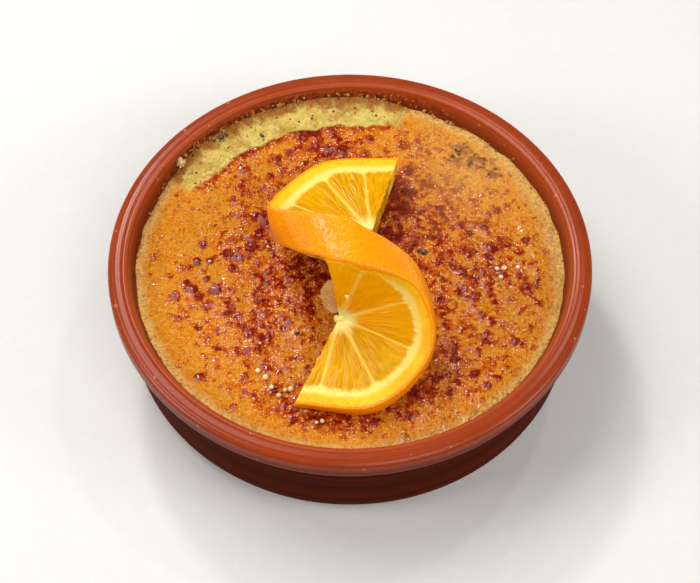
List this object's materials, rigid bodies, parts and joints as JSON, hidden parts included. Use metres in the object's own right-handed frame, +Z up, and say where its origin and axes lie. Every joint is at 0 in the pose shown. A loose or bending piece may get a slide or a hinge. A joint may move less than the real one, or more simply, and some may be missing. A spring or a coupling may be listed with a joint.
{
  "type": "creme brulee in a dish",
  "caption": "Browned custard dessert in a round glazed terracotta dish, topped with a twisted slice of citrus fruit standing on its crust.",
  "frame": {"origin": "middle of the dish's base, on the surface that it stands on", "axes": "+Z up, +Y away from the side that faces the viewer, +X to the viewer's right; the pale bank of custard is towards +Y"},
  "size_m": [0.15, 0.15, 0.0754],
  "materials": {
    "terracotta": "smooth clear-glazed red-brown earthenware",
    "crust": null,
    "citrus": null
  },
  "bodies": {
    "root": {"dish": "terracotta", "custard": "crust", "citrus_twist": "citrus"}
  },
  "joints": []
}
